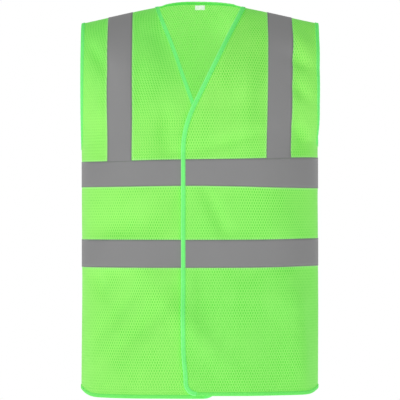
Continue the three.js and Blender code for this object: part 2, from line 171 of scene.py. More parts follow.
folds = {  # x, height, run in degrees, length, width, rise
    "front": [
        (-0.061, 0.638, 111, 0.085, 0.030, -0.01127),
        (-0.076, 0.104, 60, 0.102, 0.032, 0.0069),
        (-0.149, 0.302, 6, 0.091, 0.033, -0.00886),
        (0.067, 0.560, 46, 0.094, 0.030, 0.00575),
        (-0.140, 0.209, 78, 0.099, 0.033, -0.00575),
        (-0.113, 0.519, 52, 0.100, 0.033, -0.00517),
        (0.044, 0.474, 6, 0.106, 0.033, 0.0040),
        (0.185, 0.081, 95, 0.075, 0.020, 0.00575),
        (0.076, 0.683, 46, 0.075, 0.031, -0.00759),
        (-0.020, 0.130, 132, 0.101, 0.022, 0.00817),
        (0.133, 0.214, 62, 0.094, 0.029, 0.00391),
        (-0.062, 0.447, 88, 0.040, 0.020, -0.00563),
        (-0.174, 0.209, 76, 0.063, 0.033, -0.00552),
        (-0.182, 0.456, 92, 0.092, 0.013, -0.00368),
        (0.065, 0.313, 77, 0.100, 0.034, -0.00402),
        (0.203, 0.451, 13, 0.096, 0.032, -0.00609),
        (-0.111, 0.541, 89, 0.107, 0.017, -0.00402),
        (0.178, 0.635, 170, 0.080, 0.024, 0.00724),
        (-0.039, 0.296, 65, 0.096, 0.023, 0.00414),
        (0.152, 0.173, 161, 0.085, 0.032, 0.0038),
        (0.021, 0.503, 170, 0.094, 0.026, 0.0028),
        (-0.047, 0.634, 123, 0.072, 0.031, -0.00759),
        (0.040, 0.455, 14, 0.080, 0.011, -0.0069),
        (0.030, 0.328, 114, 0.055, 0.012, -0.00713),
        (-0.084, 0.146, 46, 0.085, 0.015, -0.00828),
        (-0.150, 0.150, 52, 0.060, 0.013, -0.00552),
        (-0.016, 0.185, 92, 0.055, 0.013, 0.00506),
        (-0.190, 0.205, 123, 0.032, 0.012, -0.0069),
        (-0.036, 0.345, 70, 0.030, 0.013, -0.00575),
        (-0.062, 0.492, 96, 0.050, 0.016, -0.00575),
        (0.006, 0.520, 72, 0.045, 0.016, 0.0040),
        (0.085, 0.530, 88, 0.070, 0.018, 0.00575),
        (0.184, 0.600, 158, 0.032, 0.011, -0.00828),
        (0.186, 0.545, 140, 0.032, 0.011, -0.0069),
        (0.184, 0.470, 128, 0.032, 0.012, -0.0069),
        (-0.186, 0.610, 125, 0.038, 0.011, -0.00736),
        (-0.180, 0.520, 84, 0.060, 0.012, 0.00552),
    ],
    "back": [
        (0.000, 0.560, 90, 0.140, 0.030, 0.0066),
        (-0.075, 0.520, 82, 0.110, 0.022, -0.0075),
        (0.085, 0.540, 97, 0.100, 0.022, -0.0066),
        (0.182, 0.540, 100, 0.070, 0.018, 0.0062),
        (-0.180, 0.560, 82, 0.080, 0.018, 0.0066),
        (-0.040, 0.340, 20, 0.090, 0.018, -0.0053),
        (0.110, 0.330, 158, 0.080, 0.018, 0.0057),
        (-0.120, 0.130, 86, 0.140, 0.024, 0.0084),
        (-0.035, 0.110, 93, 0.130, 0.024, -0.0075),
        (0.060, 0.130, 88, 0.150, 0.026, 0.0079),
        (0.150, 0.110, 95, 0.120, 0.022, -0.0070),
    ],
}
drift = {"rise": 0.0016, "seed": 5, "waves": 9, "across": (24, 62), "up": (3, 13)}
calm = {"share": 0.75, "seam": 0.035, "side": 0.180, "sideFade": 0.030, "ridge": 0.05,
        "tape": 0.020, "tapeFade": 0.022, "brace": 0.018, "braceShare": 0.8}


def foldHeight(wall, p):
    x, y, z = p[..., 0], p[..., 1], p[..., 2]
    total = np.zeros(x.shape)
    for x0, z0, run, length, width, rise in folds["front" if wall["side"] < 0 else "back"]:
        way = math.radians(run)
        along = (x - x0) * math.cos(way) + (z - z0) * math.sin(way)
        across = (z - z0) * math.cos(way) - (x - x0) * math.sin(way)
        total += rise * np.exp(-(along / length) ** 2 - (across / width) ** 2)
    total *= ease(np.abs(y) / calm["seam"])  # the seams hold the cloth
    total *= 1 - calm["share"] * ease((np.abs(x) - calm["side"]) / calm["sideFade"])
    turns = np.random.default_rng(drift["seed"])
    for _ in range(drift["waves"]):
        kx, ky = turns.uniform(*drift["across"]), turns.uniform(*drift["across"])
        kz, start = turns.uniform(*drift["up"]), turns.uniform(0, 2 * math.pi)
        total += drift["rise"] / 3 * np.sin(kx * x + ky * y + kz * z + start)
    taut = ease((ridgeHeight(x) - z) / calm["ridge"])  # and so do the shoulders and the stiffer tapes
    taped = np.zeros(x.shape)
    for low in (lowerTape, upperTape):
        off = np.abs(z - low - vest["tape"] / 2) - calm["tape"]
        taped = np.maximum(taped, 1 - ease(off / calm["tapeFade"]))
    brace = 1 - ease((np.abs(np.abs(x) - vest["braceCentre"]) - calm["brace"]) / calm["brace"])
    taped = np.maximum(taped, np.where(z > upperTape, brace, 0) * calm["braceShare"])
    return total * (1 - calm["share"] * (1 - taut)) * (1 - calm["share"] * taped)


pulls = [  # at, reach and shift, where the sewing sits a little off
    ((-0.2145, 0.432), (0.130, 0.030), (0, -0.0042)),
    ((0.2145, 0.432), (0.120, 0.030), (0, 0.0040)),
    ((0.2145, 0.372), (0.100, 0.025), (0, -0.0020)),
    ((-0.0200, 0.374), (0.120, 0.028), (0, 0.0024)),
    ((0.2145, 0.255), (0.080, 0.050), (0, 0.0028)),
    ((0.1350, 0.440), (0.045, 0.100), (-0.0035, 0)),
    ((-0.0300, 0.030), (0.060, 0.036), (0.0045, 0)),
]


def pulledBy(p):
    total = np.zeros(p.shape)
    for at, reach, shift in pulls:
        across = ((p[..., 0] - at[0]) / reach[0]) ** 2
        up = ((p[..., 2] - at[1]) / reach[1]) ** 2
        total += np.exp(-across - up)[..., None] * np.array([shift[0], 0, shift[1]])
    return total


lap = {"depth": 0.0043, "start": 0.110, "end": 0.045, "top": 0.057, "fade": 0.157}


def lapInset(front, p):  # the right front tucks in behind the left one
    if front is None or not front["tucked"]:
        return np.zeros(p.shape[:-1])
    across = ease((lap["start"] + p[..., 0]) / (lap["start"] - lap["end"]))
    over = p[..., 2] - armBottom - leftFront["knee"]
    return lap["depth"] * across * ease((lap["fade"] - over) / (lap["fade"] - lap["top"]))


def hung(wall, base, lift, front=None):  # from a place on the wall to one on or off the cloth
    out = base + wallNormal(wall, base) * (foldHeight(wall, base) + lift)[..., None]
    out[..., 1] -= wall["side"] * lapInset(front, base)
    out += pulledBy(base)
    out[..., 2] -= seatHeight
    return out


# ---- meshes from bent grids ----

def lengths(points):  # how far along a line of places each one lies
    return np.concatenate([[0], np.cumsum(np.linalg.norm(np.diff(points, axis=0), axis=-1))])


def rowLengths(points):
    along = np.zeros(points.shape[:2])
    along[:, 1:] = np.cumsum(np.linalg.norm(np.diff(points, axis=1), axis=-1), axis=1)
    return along


def bothSides(half):  # a half row from the middle, and its mirror image
    return np.concatenate([half[:0:-1] * np.array([-1, 1, 1]), half])


def pieceFrom(bm, name, material):
    mesh = bpy.data.meshes.new(name)
    bm.to_mesh(mesh)
    bm.free()
    mesh.materials.append(material)
    piece = bpy.data.objects.new(name, mesh)
    bpy.context.scene.collection.objects.link(piece)
    return piece


def bentGrid(name, points, uv, material, outward, thickness, offset=-1):
    rows, columns = points.shape[:2]
    bm = bmesh.new()
    bmesh.ops.create_grid(bm, x_segments=columns - 1, y_segments=rows - 1, size=1)
    layer = bm.loops.layers.uv.new("cloth")
    bm.verts.index_update()
    order = []
    for v in bm.verts:
        j = round((v.co.x + 1) / 2 * (columns - 1))
        i = round((v.co.y + 1) / 2 * (rows - 1))
        order.append((i, j))
    for v, (i, j) in zip(bm.verts, order):
        v.co = points[i, j]
    for face in bm.faces:
        for loop in face.loops:
            i, j = order[loop.vert.index]
            loop[layer].uv = uv[i, j]
    bm.normal_update()
    agree = 0
    for v, (i, j) in zip(bm.verts, order):
        agree += v.normal.dot(Vector(outward[i, j]))
    if agree < 0:
        bmesh.ops.reverse_faces(bm, faces=bm.faces[:])
    piece = pieceFrom(bm, name, material)
    piece.data.shade_smooth()
    wall = piece.modifiers.new("thickness", "SOLIDIFY")
    wall.thickness = thickness
    wall.offset = offset
    wall.use_even_offset = False
    return piece


def rowAlong(wall, start, end, level, count):  # even steps along the cloth from start to end
    t = np.linspace(0, 1, 160)
    x = start + (end - start) * (1 - (1 - t) ** 2.5)
    run = lengths(onWall(wall, x, level(x)))
    x = np.interp(np.linspace(0, run[-1], count), run, x)
    x[-1] = end
    return onWall(wall, x, level(x))


rollDrops = np.concatenate([np.linspace(0, 0.02, 60)[:-1], np.linspace(0.02, 0.2, 80)])


def rollLength(drop):  # cloth taken up where it rolls over the shoulder
    x = np.full(len(rollDrops), vest["braceCentre"])
    line = onWall(frontWall, x, ridgeHeight(x) - rollDrops)
    taken = lengths(line) - rollDrops
    return taken[-1] - np.interp(drop, rollDrops, taken)


def clothUv(points):  # lengths along the cloth, from the middle and the hem
    across = rowLengths(points[..., :2])
    for i, row in enumerate(points):
        k = int(np.argmin(np.abs(row[:, 0])))
        across[i] -= across[i, k] - row[k, 0]
    drop = ridgeHeight(points[..., 0]) - points[..., 2]
    return np.stack([across, points[..., 2] + rollLength(drop)], -1)


def sideHeight(z):
    return z + vest["hemRise"] * np.maximum(0, 1 - z / vest["hemFade"]) ** 1.5


def sideLevel(low, high):  # level round the front, rising into the side seam
    return lambda x: low + (high - low) * np.clip((x - 0.165) / (halfWidth - 0.165), 0, 1) ** 5


def straightLevel(x0, z0, z1):
    return lambda x: z0 + (z1 - z0) * (x - x0) / (halfWidth - x0)


def frontPath(front, count=900):  # hem end, corner, front edge, bend, neckline
    knee = armBottom + front["knee"]
    slope = (vest["neckHalf"] - front["edge"]) / (neckPoint - knee)
    middle = front["edge"] + vest["corner"]
    turn = np.linspace(1.5 * math.pi, math.pi, 40)
    corner = np.stack([middle + vest["corner"] * np.cos(turn),
                       front["hem"] + vest["corner"] * (1 + np.sin(turn))], -1)
    t = np.linspace(0, 1, 60)[:, None]
    low = np.array([front["edge"], knee - vest["kneeBelow"]])
    foot = np.array([front["edge"], knee])
    high = np.array([front["edge"] + slope * vest["kneeAbove"], knee + vest["kneeAbove"]])
    bend = (1 - t) ** 2 * low + 2 * t * (1 - t) * foot + t * t * high
    top = np.array([[vest["neckHalf"], neckPoint]])
    path = np.concatenate([corner, bend, top])
    run = lengths(path)
    even = np.linspace(0, run[-1], count)
    return np.stack([np.interp(even, run, path[:, 0]), np.interp(even, run, path[:, 1])], -1)


def upperTurns(count):  # closer rows at the bottom and the top of the armhole
    return (1 - np.cos(np.linspace(0, math.pi, count))) / 2


def frontRows(front):
    path = frontPath(front)
    lower = path[path[:, 1] < armBottom]
    steps = np.concatenate([np.linspace(0, 60, 13), np.linspace(60, len(lower) - 1, 78)])
    picks = np.unique(steps.astype(int))
    starts = [tuple(lower[k]) for k in picks]
    ends = [sideHeight(z - front["hem"] * (1 - z / armBottom)) for _, z in starts]
    for share in upperTurns(64):
        z = mix(armBottom, neckPoint, share)
        starts.append((float(np.interp(z, path[:, 1], path[:, 0])), z))
        ends.append(mix(armBottom, vest["tipHeight"], share))
    rows = []
    for (x0, z0), z1 in zip(starts, ends):
        level = sideLevel(z0, z1) if z0 < armBottom else straightLevel(x0, z0, z1)
        rows.append(rowAlong(frontWall, x0, halfWidth, level, 64))
    return np.array(rows)


def neckline(x):  # a flat nape, quick to fall at the shoulders
    rise = vest["napeRise"] * (1 - np.minimum(np.abs(x) / vest["neckHalf"], 1) ** 2.7)
    return neckPoint + np.minimum(rise, 0.96 * (ridgeHeight(x) - neckPoint))


def backRows():
    def topOf(x):
        return np.where(np.abs(x) < vest["neckHalf"], neckline(x), ridgeHeight(x))

    levels = []
    for z in np.linspace(0, armBottom, 82):
        side = sideHeight(z)
        levels.append(sideLevel(z, side))
    for share in upperTurns(64)[1:]:
        levels.append(lambda x, share=share: mix(armBottom, topOf(x), share))
    rows = []
    for level in levels:
        inner = rowAlong(backWall, 0.0, vest["neckHalf"], level, 20)
        outer = rowAlong(backWall, vest["neckHalf"], halfWidth, level, 44)
        rows.append(bothSides(np.concatenate([inner, outer[1:]])))
    return np.array(rows)


# ---- shader node groups ----

def addNode(tree, kind, **settings):
    made = tree.nodes.new(kind)
    for key, value in settings.items():
        setattr(made, key, value)
    return made


def feed(tree, socket, value):  # a constant, or a link from another node
    if isinstance(value, (int, float, tuple)):
        socket.default_value = value
    else:
        tree.links.new(value, socket)


def mathNode(tree, operation, *values):
    made = addNode(tree, "ShaderNodeMath", operation=operation)
    for socket, value in zip(made.inputs, values):
        feed(tree, socket, value)
    return made.outputs[0]


def rampNode(tree, value, start, end, low=0.0, high=1.0, kind="SMOOTHSTEP"):
    made = addNode(tree, "ShaderNodeMapRange", interpolation_type=kind)
    given = {"Value": value, "From Min": start, "From Max": end, "To Min": low, "To Max": high}
    for label, setting in given.items():
        feed(tree, made.inputs[label], setting)
    return made.outputs[0]


def splitNode(tree, vector):
    made = addNode(tree, "ShaderNodeSeparateXYZ")
    tree.links.new(vector, made.inputs[0])
    return made.outputs


def newGroup(name, inputs, outputs):
    tree = bpy.data.node_groups.new(name, "ShaderNodeTree")
    for label, kind, value in inputs:
        socket = tree.interface.new_socket(name=label, in_out="INPUT", socket_type=kind)
        if value is not None:
            socket.default_value = value
    for label, kind in outputs:
        tree.interface.new_socket(name=label, in_out="OUTPUT", socket_type=kind)
    return tree, addNode(tree, "NodeGroupInput"), addNode(tree, "NodeGroupOutput")


holeShape = (1.25, 0.55)  # how much sooner a hole ends across and up than a round one


def meshHolesGroup():  # staggered upright holes in knitted mesh
    tree, given, out = newGroup(
        "meshHoles",
        [("Vector", "NodeSocketVector", None), ("Across", "NodeSocketFloat", 0.004),
         ("Up", "NodeSocketFloat", 0.009), ("Radius", "NodeSocketFloat", 0.001)],
        [("Mask", "NodeSocketFloat"), ("Height", "NodeSocketFloat")])
    split = splitNode(tree, given.outputs["Vector"])
    near = []
    for shift in (0.0, 0.5):
        squares = []
        for axis, pitch in ((0, given.outputs["Across"]), (1, given.outputs["Up"])):
            cell = mathNode(tree, "ADD", mathNode(tree, "DIVIDE", split[axis], pitch), shift)
            away = mathNode(tree, "SUBTRACT", mathNode(tree, "FRACT", cell), 0.5)
            away = mathNode(tree, "MULTIPLY", mathNode(tree, "MULTIPLY", away, pitch), holeShape[axis])
            squares.append(mathNode(tree, "MULTIPLY", away, away))
        near.append(mathNode(tree, "SQRT", mathNode(tree, "ADD", *squares)))
    distance = mathNode(tree, "MINIMUM", *near)
    start = mathNode(tree, "MULTIPLY", given.outputs["Radius"], 0.75)
    end = mathNode(tree, "MULTIPLY", given.outputs["Radius"], 1.25)
    soft = rampNode(tree, distance, start, end, 1.0, 0.0)
    tree.links.new(soft, out.inputs["Mask"])
    knit = mathNode(tree, "SINE", mathNode(tree, "MULTIPLY", split[0], 5200.0))
    height = mathNode(tree, "SUBTRACT", mathNode(tree, "MULTIPLY", knit, 0.08), soft)
    tree.links.new(height, out.inputs["Height"])
    return tree


def yarnGroup():  # fine ribs of yarn across and along
    tree, given, out = newGroup(
        "yarnRibs",
        [("Vector", "NodeSocketVector", None), ("Across", "NodeSocketFloat", 900.0),
         ("Along", "NodeSocketFloat", 900.0)],
        [("Height", "NodeSocketFloat")])
    split = splitNode(tree, given.outputs["Vector"])
    ribs = []
    for axis, label in enumerate(("Along", "Across")):
        turns = mathNode(tree, "MULTIPLY", split[axis], given.outputs[label])
        ribs.append(mathNode(tree, "SINE", mathNode(tree, "MULTIPLY", turns, 2 * math.pi)))
    wave = mathNode(tree, "MULTIPLY", *ribs)
    tree.links.new(mathNode(tree, "ADD", mathNode(tree, "MULTIPLY", wave, 0.5), 0.5), out.inputs["Height"])
    return tree


def unevenGroup():  # slow light and dark patches in a dyed colour
    tree, given, out = newGroup(
        "unevenTone",
        [("Color", "NodeSocketColor", (1, 1, 1, 1)), ("Scale", "NodeSocketFloat", 9.0),
         ("Amount", "NodeSocketFloat", 0.08)],
        [("Color", "NodeSocketColor"), ("Tone", "NodeSocketFloat")])
    place = addNode(tree, "ShaderNodeTexCoord")
    cloud = addNode(tree, "ShaderNodeTexNoise")
    cloud.inputs["Detail"].default_value = 4
    tree.links.new(place.outputs["Object"], cloud.inputs["Vector"])
    tree.links.new(given.outputs["Scale"], cloud.inputs["Scale"])
    tone = mathNode(tree, "SUBTRACT", cloud.outputs[0], 0.5)
    tone = mathNode(tree, "ADD", mathNode(tree, "MULTIPLY", tone, given.outputs["Amount"]), 1.0)
    scaled = addNode(tree, "ShaderNodeVectorMath", operation="SCALE")
    tree.links.new(given.outputs["Color"], scaled.inputs[0])
    tree.links.new(tone, scaled.inputs["Scale"])
    tree.links.new(scaled.outputs[0], out.inputs["Color"])
    tree.links.new(tone, out.inputs["Tone"])
    return tree


groups = {"holes": meshHolesGroup(), "yarn": yarnGroup(), "uneven": unevenGroup()}


def placeGroup(tree, key, **values):
    made = addNode(tree, "ShaderNodeGroup", node_tree=groups[key])
    for label, value in values.items():
        made.inputs[label].default_value = value
    return made


def startMaterial(name):
    material = bpy.data.materials.new(name)
    material.use_nodes = True
    tree = material.node_tree
    return material, tree, tree.nodes["Principled BSDF"]


def uvNode(tree):
    return addNode(tree, "ShaderNodeUVMap", uv_map="cloth").outputs[0]


def bumpInto(tree, shader, height, strength, distance):
    bump = addNode(tree, "ShaderNodeBump")
    bump.inputs["Strength"].default_value = strength
    bump.inputs["Distance"].default_value = distance
    tree.links.new(height, bump.inputs["Height"])
    tree.links.new(bump.outputs[0], shader.inputs["Normal"])


def mixColour(tree, factor, a, b):
    made = addNode(tree, "ShaderNodeMix", data_type="RGBA")
    tree.links.new(factor, made.inputs["Factor"])
    feed(tree, made.inputs[6], a)
    feed(tree, made.inputs[7], b)
    return made.outputs[2]


# the first two cloth colours are the cloth in painted shade and in painted light
clothLook = {
    "cool": (0.234, 0.570, 0.134, 1), "warm": (0.364, 0.618, 0.152, 1), "pulled": (0.440, 0.680, 0.300, 1),
    "hole": (0.052, 0.420, 0.016, 1), "holeGlow": (0.4, 0.92, 0.3),
    "across": 0.0044, "up": 0.0098, "radius": 0.00105,
    "openness": (0.35, 0.65, 0.42, 0.86), "sides": (0.160, 0.212, 1.0, 0.6),
    "beside": (0.0010, 0.0042, 0.55, 0.0),
}


def clothMaterial(name, glow):  # dyed mesh gives back more light than falls on it, shown as painted light: a steady glow that no lamp changes
    material, tree, shader = startMaterial(name)
    look = clothLook
    holes = placeGroup(tree, "holes", Across=look["across"], Up=look["up"], Radius=look["radius"])
    tree.links.new(uvNode(tree), holes.inputs["Vector"])
    where = addNode(tree, "ShaderNodeTexCoord").outputs["Object"]
    patches = addNode(tree, "ShaderNodeTexNoise")
    patches.inputs["Scale"].default_value = 16
    tree.links.new(where, patches.inputs["Vector"])
    openness = rampNode(tree, patches.outputs[0], *look["openness"], "LINEAR")
    outward = mathNode(tree, "ABSOLUTE", splitNode(tree, where)[0])
    openness = mathNode(tree, "MULTIPLY", openness, rampNode(tree, outward, *look["sides"]))
    seen = mathNode(tree, "MULTIPLY", holes.outputs["Mask"], openness)
    base = placeGroup(tree, "uneven", Scale=11.0, Amount=0.16)
    # painted light and shade: the base colour runs from the shaded to the lit cloth colour by the attribute
    # set at each height
    warmth = addNode(tree, "ShaderNodeAttribute", attribute_name="warmth").outputs["Fac"]
    share = mathNode(tree, "ADD", mathNode(tree, "MULTIPLY", warmth, 2.5), 0.5)
    tree.links.new(mixColour(tree, share, look["cool"], look["warm"]), base.inputs["Color"])
    # the cloth is painted paler in a thin band beside the tape edges
    away = addNode(tree, "ShaderNodeAttribute", attribute_name="fromTape").outputs["Fac"]
    colour = mixColour(tree, rampNode(tree, away, *look["beside"]), base.outputs["Color"], look["pulled"])
    # painted shade: where the holes show, the cloth is painted dark for the shaded inside seen through them,
    # and it glows less there
    tree.links.new(mixColour(tree, seen, colour, look["hole"]), shader.inputs["Base Color"])
    dim = tuple(c * share for c, share in zip(glow, look["holeGlow"])) + (1,)
    tree.links.new(mixColour(tree, seen, glow, dim), shader.inputs["Emission Color"])
    shader.inputs["Emission Strength"].default_value = 1.0
    shader.inputs["Roughness"].default_value = 0.82
    shader.inputs["Specular IOR Level"].default_value = 0.2
    shader.inputs["Sheen Weight"].default_value = 0.1
    shader.inputs["Sheen Roughness"].default_value = 0.5
    bumpInto(tree, shader, holes.outputs["Height"], 0.6, 0.0006)
    return material


bindingLook = {"glow": (0.045, 0.430, 0.055, 1), "low": (0.07, 0.40, 0.08, 1),
               "outer": 0.0037, "inner": 0.0128, "flat": 0.0018, "round": 0.0030}


def bindingMaterial(name, colour, foldHighlight):  # painted highlight: paler along its folded edges
    material, tree, shader = startMaterial(name)
    place = uvNode(tree)
    yarn = placeGroup(tree, "yarn", Across=1100.0, Along=620.0)
    tree.links.new(place, yarn.inputs["Vector"])
    across = splitNode(tree, place)[1]
    legs = [mathNode(tree, "ABSOLUTE", mathNode(tree, "SUBTRACT", across, bindingLook[leg]))
            for leg in ("outer", "inner")]
    rim = rampNode(tree, mathNode(tree, "MINIMUM", *legs), bindingLook["flat"], bindingLook["round"])
    base = placeGroup(tree, "uneven", Color=colour, Scale=24.0, Amount=0.22)
    colour = mixColour(tree, rim, base.outputs["Color"], foldHighlight)
    low = mathNode(tree, "MULTIPLY", mathNode(tree, "SUBTRACT", 1.0, yarn.outputs[0]), 0.35)
    colour = mixColour(tree, low, colour, bindingLook["low"])
    tree.links.new(colour, shader.inputs["Base Color"])
    # painted light: a steady glow, though the binding is no lamp
    shader.inputs["Emission Color"].default_value = bindingLook["glow"]
    shader.inputs["Emission Strength"].default_value = 1.0
    shader.inputs["Roughness"].default_value = 0.62
    shader.inputs["Specular IOR Level"].default_value = 0.3
    bumpInto(tree, shader, yarn.outputs[0], 0.5, 0.0003)
    return material


# the edge colour is painted shade along the tape edges, over the hem width
tapeLook = {"colour": (0.120, 0.120, 0.122, 1), "edge": (0.060, 0.075, 0.060, 1),
            "bead": (0.25, 0.25, 0.26, 1), "hem": 0.0022, "glow": 0.125}


def tapeMaterial():
    material, tree, shader = startMaterial("greyReflectiveTape")
    place = uvNode(tree)
    base = placeGroup(tree, "uneven", Color=tapeLook["colour"], Scale=16.0, Amount=0.14)
    beads = addNode(tree, "ShaderNodeTexVoronoi")
    beads.inputs["Scale"].default_value = 1600
    tree.links.new(place, beads.inputs["Vector"])
    half = vest["tape"] / 2
    middle = mathNode(tree, "ABSOLUTE", mathNode(tree, "SUBTRACT", splitNode(tree, place)[1], half))
    # painted shade: a dark line along the tape edges, left out where a brace runs into a band
    rim = rampNode(tree, middle, half - tapeLook["hem"], half)
    speck = mathNode(tree, "MULTIPLY", beads.outputs["Distance"], 0.10)
    colour = mixColour(tree, speck, base.outputs["Color"], tapeLook["bead"])
    plain = addNode(tree, "ShaderNodeAttribute", attribute_name="tapeEdgeShadeShown")
    edgeShadeMask = mathNode(tree, "MULTIPLY", rim, plain.outputs["Fac"])
    colour = mixColour(tree, edgeShadeMask, colour, tapeLook["edge"])
    # painted light: a steady white glow stands for the tape's retroreflection
    shader.inputs["Emission Color"].default_value = (1, 1, 1, 1)
    shader.inputs["Emission Strength"].default_value = tapeLook["glow"]
    tree.links.new(colour, shader.inputs["Base Color"])
    shader.inputs["Metallic"].default_value = 0.15
    shader.inputs["Specular IOR Level"].default_value = 0.35
    rough = mathNode(tree, "ADD", mathNode(tree, "MULTIPLY", beads.outputs["Distance"], 0.2), 0.46)
    tree.links.new(rough, shader.inputs["Roughness"])
    bumpInto(tree, shader, beads.outputs["Distance"], 0.25, 0.0002)
    return material


def plainWeave(name, colour, dark, yarns, rough, glow, depth=0.0003):
    material, tree, shader = startMaterial(name)
    yarn = placeGroup(tree, "yarn", Across=yarns[0], Along=yarns[1])
    tree.links.new(uvNode(tree), yarn.inputs["Vector"])
    base = placeGroup(tree, "uneven", Color=colour, Scale=30.0, Amount=0.15)
    low = mathNode(tree, "MULTIPLY", mathNode(tree, "SUBTRACT", 1.0, yarn.outputs[0]), 0.6)
    shade = mixColour(tree, low, base.outputs["Color"], dark)
    tree.links.new(shade, shader.inputs["Base Color"])
    # painted light: the woven colour also glows, though it is no lamp
    tree.links.new(shade, shader.inputs["Emission Color"])
    shader.inputs["Emission Strength"].default_value = glow
    shader.inputs["Roughness"].default_value = rough
    bumpInto(tree, shader, yarn.outputs[0], 0.6, depth)
    return material


def threadMaterial(name, colour):
    material, tree, shader = startMaterial(name)
    place = addNode(tree, "ShaderNodeTexCoord")
    twist = addNode(tree, "ShaderNodeTexWave")
    twist.inputs["Scale"].default_value = 900
    tree.links.new(place.outputs["Object"], twist.inputs["Vector"])
    low = mathNode(tree, "MULTIPLY", twist.outputs[1], 0.3)
    dark = tuple(0.55 * c for c in colour[:3]) + (1,)
    tree.links.new(mixColour(tree, low, colour, dark), shader.inputs["Base Color"])
    shader.inputs["Roughness"].default_value = 0.55
    return material


materials = {
    # painted light: each cloth glows, and its inside faces glow more, for light coming through the thin mesh
    "cloth": clothMaterial("neonMesh", (0.030, 0.350, 0.018, 1)),
    "lining": clothMaterial("neonMeshInsidePaintedLight", (0.135, 0.350, 0.086, 1)),
    # the second colour of each binding is its painted highlight along the folds
    "binding": bindingMaterial("mintBinding", (0.150, 0.560, 0.165, 1), (0.255, 0.600, 0.265, 1)),
    "hemBinding": bindingMaterial("greenBinding", (0.140, 0.470, 0.085, 1), (0.200, 0.520, 0.120, 1)),
    "tape": tapeMaterial(),
    "hook": plainWeave("hookFastener", (0.22, 0.72, 0.14, 1), (0.10, 0.42, 0.06, 1), (520, 520), 0.8, 0.2,
                       0.0006),
    "loop": plainWeave("loopFastener", (0.24, 0.76, 0.16, 1), (0.15, 0.55, 0.09, 1), (800, 700), 0.95, 0.2),
    "label": plainWeave("labelSatin", (0.88, 0.89, 0.87, 1), (0.76, 0.78, 0.76, 1), (1800, 900), 0.5, 0.26),
    "greenThread": threadMaterial("greenThread", (0.10, 0.62, 0.10, 1)),
    # the dark thread is used only for the painted shade line on the neck binding
    "shadeLineThread": threadMaterial("shadeLineThread", (0.035, 0.300, 0.045, 1)),
    "greyThread": threadMaterial("greyThread", (0.20, 0.26, 0.20, 1)),
}
print("materials made:", len(materials))


# ---- pieces ----

def handed(points, front, mirror=None):
    hand = mirror or (front["hand"] if front else 1)
    return points * np.array([hand, 1, 1])


def settle(piece, front=None, node=None, body="garment"):
    if node:
        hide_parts(node)
    if front:  # the fronts are sewn fast at the shoulder and free below the armhole; here they only get their placing baked into the mesh
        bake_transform(piece)
    else:
        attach(piece, body)
    return piece


def pieceName(node):  # left_front_panel becomes leftFrontPanel
    first, *others = node.split("_")
    return first + "".join(word.capitalize() for word in others)


def wallOf(front):
    return frontWall if front else backWall


def layer(node, base, lift, material, thickness, front=None, uv=None, mirror=None):
    base = handed(base, front, mirror)
    points = hung(wallOf(front), base, np.full(base.shape[:-1], lift), front)
    uv = clothUv(base) if uv is None else uv
    return bentGrid(pieceName(node), points, uv, material, wallNormal(wallOf(front), base), thickness)


# Panels
def mark(piece, name, values):
    marks = piece.data.attributes.new(name, "FLOAT", "POINT")
    marks.data.foreach_set("value", np.asarray(values, float).ravel())


def fromTape(base):  # how far the cloth lies from the edge of a tape
    half = vest["tape"] / 2
    bands = [np.abs(base[..., 2] - low - half) - half for low in (lowerTape, upperTape)]
    brace = np.abs(np.abs(base[..., 0]) - vest["braceCentre"]) - vest["braceHalf"]
    brace = np.where(base[..., 2] > upperTape + half, brace, 1.0)
    return np.minimum(np.minimum(*bands), brace)


def clothPanel(node, rows, front=None):
    piece = layer(node, rows, 0, materials["cloth"], vest["cloth"], front)
    # painted light and shade by height on the fronts, none on the back
    warmth = np.interp(rows[..., 2], paintedLightHeights, front["warmth"]) if front else np.zeros(rows.shape[:2])
    mark(piece, "warmth", warmth)
    mark(piece, "fromTape", fromTape(rows))
    piece.data.materials.append(materials["lining"])
    piece.modifiers["thickness"].material_offset = 1
    print(piece.name, "cloth area", round(sum(face.area for face in piece.data.polygons), 4))
    return settle(piece, front, node)


leftPanel = clothPanel("left_front_panel", frontRows(leftFront), leftFront)
rightPanel = clothPanel("right_front_panel", frontRows(rightFront), rightFront)
backPanel = clothPanel("back_panel", backRows())

seam = {"reach": 0.0048, "foot": 0.009, "head": 0.004, "under": -0.0014, "thickness": 0.0004, "turn": 0.0024}


def sideSeam(front):  # the strip sewn behind each side seam
    height = np.linspace(float(sideHeight(0.0)) + seam["foot"], armBottom - seam["head"], 90)
    sides = []
    for wall, share in ((backWall, (1, 0.7, 0.4, 0.06)), (frontWall, (0.06, 0.4, 0.7, 1))):
        y, z = np.meshgrid(wall["side"] * seam["reach"] * np.array(share), height)
        base = handed(ontoWall(wall, np.stack([np.full(y.shape, halfWidth), y, z], -1)), front)
        sides.append((hung(wall, base, np.full(y.shape, seam["under"])), wallNormal(wall, base), base))
    points, normals, base = (np.concatenate(pair, axis=1) for pair in zip(*sides))
    piece = bentGrid(front["name"] + "SideSeam", points, base[..., 1:], materials["lining"], normals,
                     seam["thickness"])
    # no painted light or shade on the seam strip
    mark(piece, "warmth", np.zeros(base.shape[:2]))
    mark(piece, "fromTape", np.ones(base.shape[:2]))
    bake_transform(piece)


for front in (leftFront, rightFront):
    sideSeam(front)
print("panels hung")

# Tapes
tapeFit = {"lift": 0.00015, "thickness": 0.0004, "brace": 0.00036, "start": 0.004, "rowsAcross": 11}


def bandEdgeShade(base):  # where the band's edges get painted shade: not under the braces that run into its top edge
    away = np.abs(np.abs(base[..., 0]) - vest["braceCentre"]) - vest["braceHalf"]
    top = np.linspace(0, 1, len(base))[:, None] > 0.5
    return np.where(top & (away < 0.0005), 0.0, 1.0)


def tapeUv(points, width):
    along = rowLengths(points)
    across = np.linspace(0, width, len(points))[:, None] + along * 0
    return np.stack([along, across], -1)


